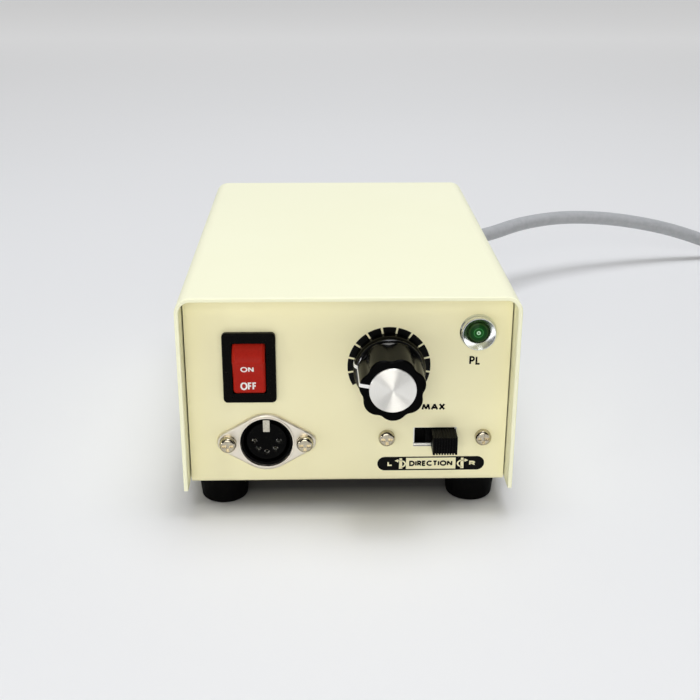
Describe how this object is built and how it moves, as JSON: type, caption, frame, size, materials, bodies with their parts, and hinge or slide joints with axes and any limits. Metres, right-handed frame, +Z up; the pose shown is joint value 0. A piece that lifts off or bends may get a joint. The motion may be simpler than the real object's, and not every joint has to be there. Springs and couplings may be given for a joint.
{
  "type": "dental micromotor",
  "caption": "Compact bench control unit for a dental micromotor handpiece: folded steel box with power rocker, speed knob, pilot lamp, direction slide and round motor socket.",
  "frame": {"origin": "centre of the case between its outermost fittings, on the surface the feet stand on", "axes": "+X to the right seen from the front, +Y towards the back, +Z up"},
  "size_m": [0.3243, 0.2738, 0.0677],
  "materials": {
    "panel_paint": "satin cream paint",
    "cover_paint": "smooth semi-gloss ivory paint",
    "plated_screws": "bright nickel",
    "black_rubber": "matte",
    "black_plastic": "satin",
    "red_plastic": "semi-gloss",
    "tinned_tabs": "tinned",
    "nickel_plate": "plated sheet",
    "silver_contacts": "silvered",
    "zinc_can": "zinc plated",
    "knob_plastic": "satin",
    "white_plastic": "satin",
    "brass_bush": "turned",
    "spun_aluminium": "spun",
    "black_print": "screen print",
    "lamp_chrome": "bright",
    "green_lens": "clear green",
    "brown_laminate": "pressed laminate",
    "lever_plastic": "satin",
    "fuse_glass": "clear",
    "cord_grey": "satin grey PVC",
    "core_steel": "lacquered laminations",
    "yellow_tape": "polyester tape",
    "board_laminate": "solder mask",
    "capacitor_sleeve": "shrunk sleeve",
    "relay_case": "moulded",
    "sink_aluminium": "black anodised"
  },
  "bodies": {
    "case": {"board_posts": "nickel_plate", "board_screws": "plated_screws", "bridge_rectifier": "black_plastic", "chassis": "panel_paint", "circuit_board": "board_laminate", "cover": "cover_paint", "cover_screws": "plated_screws", "dial_scale": "black_print", "direction_label": "black_print", "direction_switch_frame": "nickel_plate", "direction_switch_housing": "brown_laminate", "direction_switch_screws": "plated_screws", "earth_stud": "brass_bush", "filter_capacitors": "capacitor_sleeve", "foot_jack": "black_plastic", "foot_jack_nut": "plated_screws", "foot_screws": "plated_screws", "fuse_holder": "black_plastic", "fuse_holder_nut": "black_plastic", "hand_foot_switch_frame": "nickel_plate", "hand_foot_switch_housing": "brown_laminate", "hand_foot_switch_screws": "plated_screws", "heat_sink": "sink_aluminium", "lamp_bezel": "lamp_chrome", "lamp_diode": "green_lens", "lamp_lens": "green_lens", "lamp_nut": "plated_screws", "lead_coil": "cord_grey", "mains_lead": "cord_grey", "mains_plug": "cord_grey", "plug_blades": "nickel_plate", "power_switch_body": "black_plastic", "power_transistor": "black_plastic", "relay": "relay_case", "rubber_feet": "black_rubber", "socket_contacts": "silver_contacts", "socket_flange": "nickel_plate", "socket_insulator": "black_plastic", "socket_key_spring": "silver_contacts", "socket_nuts": "plated_screws", "socket_screws": "plated_screws", "speed_control": "zinc_can", "speed_control_nut": "plated_screws", "strain_relief": "cord_grey", "switch_terminals": "tinned_tabs", "transformer_core": "core_steel", "transformer_screws": "plated_screws", "transformer_strap": "nickel_plate", "transformer_winding": "yellow_tape"},
    "rocker": {"power_rocker": "red_plastic"},
    "knob": {"speed_knob": "knob_plastic", "knob_pointer": "white_plastic", "knob_bush": "brass_bush", "knob_cap": "spun_aluminium", "speed_shaft": "zinc_can"},
    "direction_lever_body": {"direction_lever": "lever_plastic"},
    "hand_foot_lever_body": {"hand_foot_lever": "lever_plastic"},
    "fuse_carrier": {"fuse_cap": "black_plastic", "fuse_link": "fuse_glass"}
  },
  "joints": [
    {"name": "power_rocker_tilt", "type": "hinge", "parent": "case", "child": "rocker", "pos_m": [-0.0279, -0.0568, 0.0451], "axis": [1, 0, 0], "range_deg": [-30, 0]},
    {"name": "speed_knob_turn", "type": "hinge", "parent": "case", "child": "knob", "pos_m": [0.0115, -0.0602, 0.04507], "axis": [0, 1, 0], "range_deg": [-60, 220]},
    {"name": "direction_slide", "type": "slide", "parent": "case", "child": "direction_lever_body", "axis": [1, 0, 0], "range_m": [-0.0048, 0]},
    {"name": "hand_foot_slide", "type": "slide", "parent": "case", "child": "hand_foot_lever_body", "axis": [1, 0, 0], "range_m": [-0.0048, 0]},
    {"name": "fuse_cap_turn", "type": "hinge", "parent": "case", "child": "fuse_carrier", "pos_m": [-0.032, 0.0648, 0.027], "axis": [0, 1, 0], "range_deg": [0, 90]}
  ]
}
